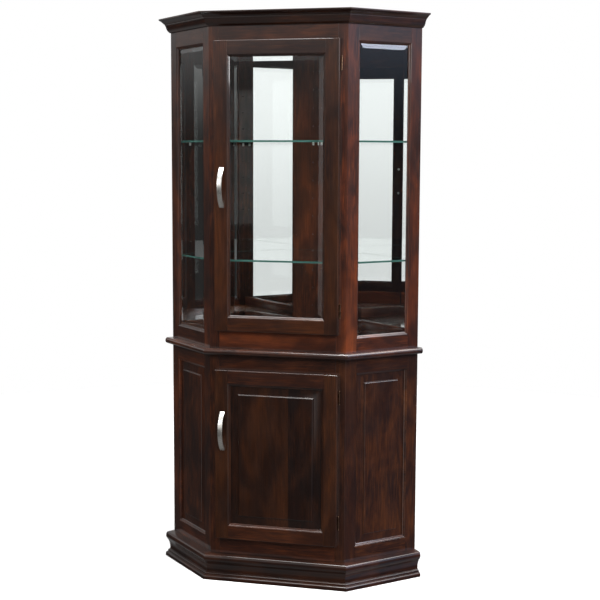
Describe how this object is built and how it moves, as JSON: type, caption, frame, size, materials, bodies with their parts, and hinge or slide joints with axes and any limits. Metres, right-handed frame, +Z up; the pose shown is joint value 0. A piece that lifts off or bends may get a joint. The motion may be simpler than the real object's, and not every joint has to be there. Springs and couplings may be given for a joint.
{
  "type": "corner curio cabinet",
  "caption": "Corner display cabinet: bevelled-glass door and side windows, mirrored backs and glass shelves over a raised-panel cupboard.",
  "frame": {"origin": "on the floor, at the centre of the cabinet's overall footprint", "axes": "+Z up, front door faces -Y, +X to the right as seen from the front; the cut-off rear corner is at +Y"},
  "size_m": [0.9068, 0.5866, 1.829],
  "materials": {
    "cabinet_wood": "dark reddish-brown stain under satin-gloss lacquer",
    "door_wood": "dark reddish-brown stain under satin-gloss lacquer",
    "panel_wood": "darker stain in the panels, satin-gloss lacquer",
    "moulding_wood": "dark stain with glossy lacquer on the profiles",
    "back_wood": "stained plywood, satin",
    "bevelled_glass": "clear, polished, bevelled edge",
    "shelf_glass": "clear with green polished edges",
    "mirror": "silvered plate glass",
    "satin_nickel": "satin nickel, lengthwise brushing",
    "dark_bronze": "oil-rubbed dark bronze with worn tips"
  },
  "bodies": {
    "cabinet_body": {"upper_front_rail_bottom": "cabinet_wood", "upper_front_rail_top": "cabinet_wood", "base_front_rail_bottom": "cabinet_wood", "base_front_rail_top": "cabinet_wood", "crown_front": "moulding_wood", "plinth_front": "moulding_wood", "upper_hinge_bottom_frame_leaf": "dark_bronze", "upper_hinge_top_frame_leaf": "dark_bronze", "base_hinge_bottom_frame_leaf": "dark_bronze", "base_hinge_top_frame_leaf": "dark_bronze", "upper_post_right": "cabinet_wood", "upper_right_rail_bottom": "cabinet_wood", "upper_right_rail_top": "cabinet_wood", "upper_right_rear_stile": "cabinet_wood", "upper_right_window_glass": "bevelled_glass", "base_post_right": "cabinet_wood", "base_right_side_frame": "cabinet_wood", "base_right_side_panel": "panel_wood", "crown_right": "moulding_wood", "plinth_right": "moulding_wood", "upper_post_left": "cabinet_wood", "upper_left_rail_bottom": "cabinet_wood", "upper_left_rail_top": "cabinet_wood", "upper_left_rear_stile": "cabinet_wood", "upper_left_window_glass": "bevelled_glass", "base_post_left": "cabinet_wood", "base_left_side_frame": "cabinet_wood", "base_left_side_panel": "panel_wood", "crown_left": "moulding_wood", "plinth_left": "moulding_wood", "upper_back_right": "back_wood", "base_back_right": "back_wood", "mirror_right": "mirror", "upper_back_left": "back_wood", "base_back_left": "back_wood", "mirror_left": "mirror", "upper_back_centre": "back_wood", "base_back_centre": "back_wood", "top_board": "cabinet_wood", "upper_floor_board": "cabinet_wood", "waist_board": "moulding_wood", "base_floor_board": "cabinet_wood", "glass_shelf_lower": "shelf_glass", "glass_shelf_upper": "shelf_glass"},
    "upper_door": {"upper_door_stile_latch": "door_wood", "upper_door_stile_hinge": "door_wood", "upper_door_rail_bottom": "door_wood", "upper_door_rail_top": "door_wood", "upper_door_glass": "bevelled_glass", "upper_door_pull": "satin_nickel", "upper_hinge_bottom_door_leaf": "dark_bronze", "upper_hinge_top_door_leaf": "dark_bronze"},
    "base_door": {"base_door_stile_latch": "door_wood", "base_door_stile_hinge": "door_wood", "base_door_rail_bottom": "door_wood", "base_door_rail_top": "door_wood", "base_door_panel": "panel_wood", "base_door_pull": "satin_nickel", "base_hinge_bottom_door_leaf": "dark_bronze", "base_hinge_top_door_leaf": "dark_bronze"}
  },
  "joints": [
    {"name": "upper_door_hinge", "type": "hinge", "parent": "cabinet_body", "child": "upper_door", "pos_m": [0.2058, -0.24658, 1.2815], "axis": [0, 0, 1], "range_deg": [0, 105]},
    {"name": "base_door_hinge", "type": "hinge", "parent": "cabinet_body", "child": "base_door", "pos_m": [0.2058, -0.24658, 0.417], "axis": [0, 0, 1], "range_deg": [0, 105]}
  ]
}
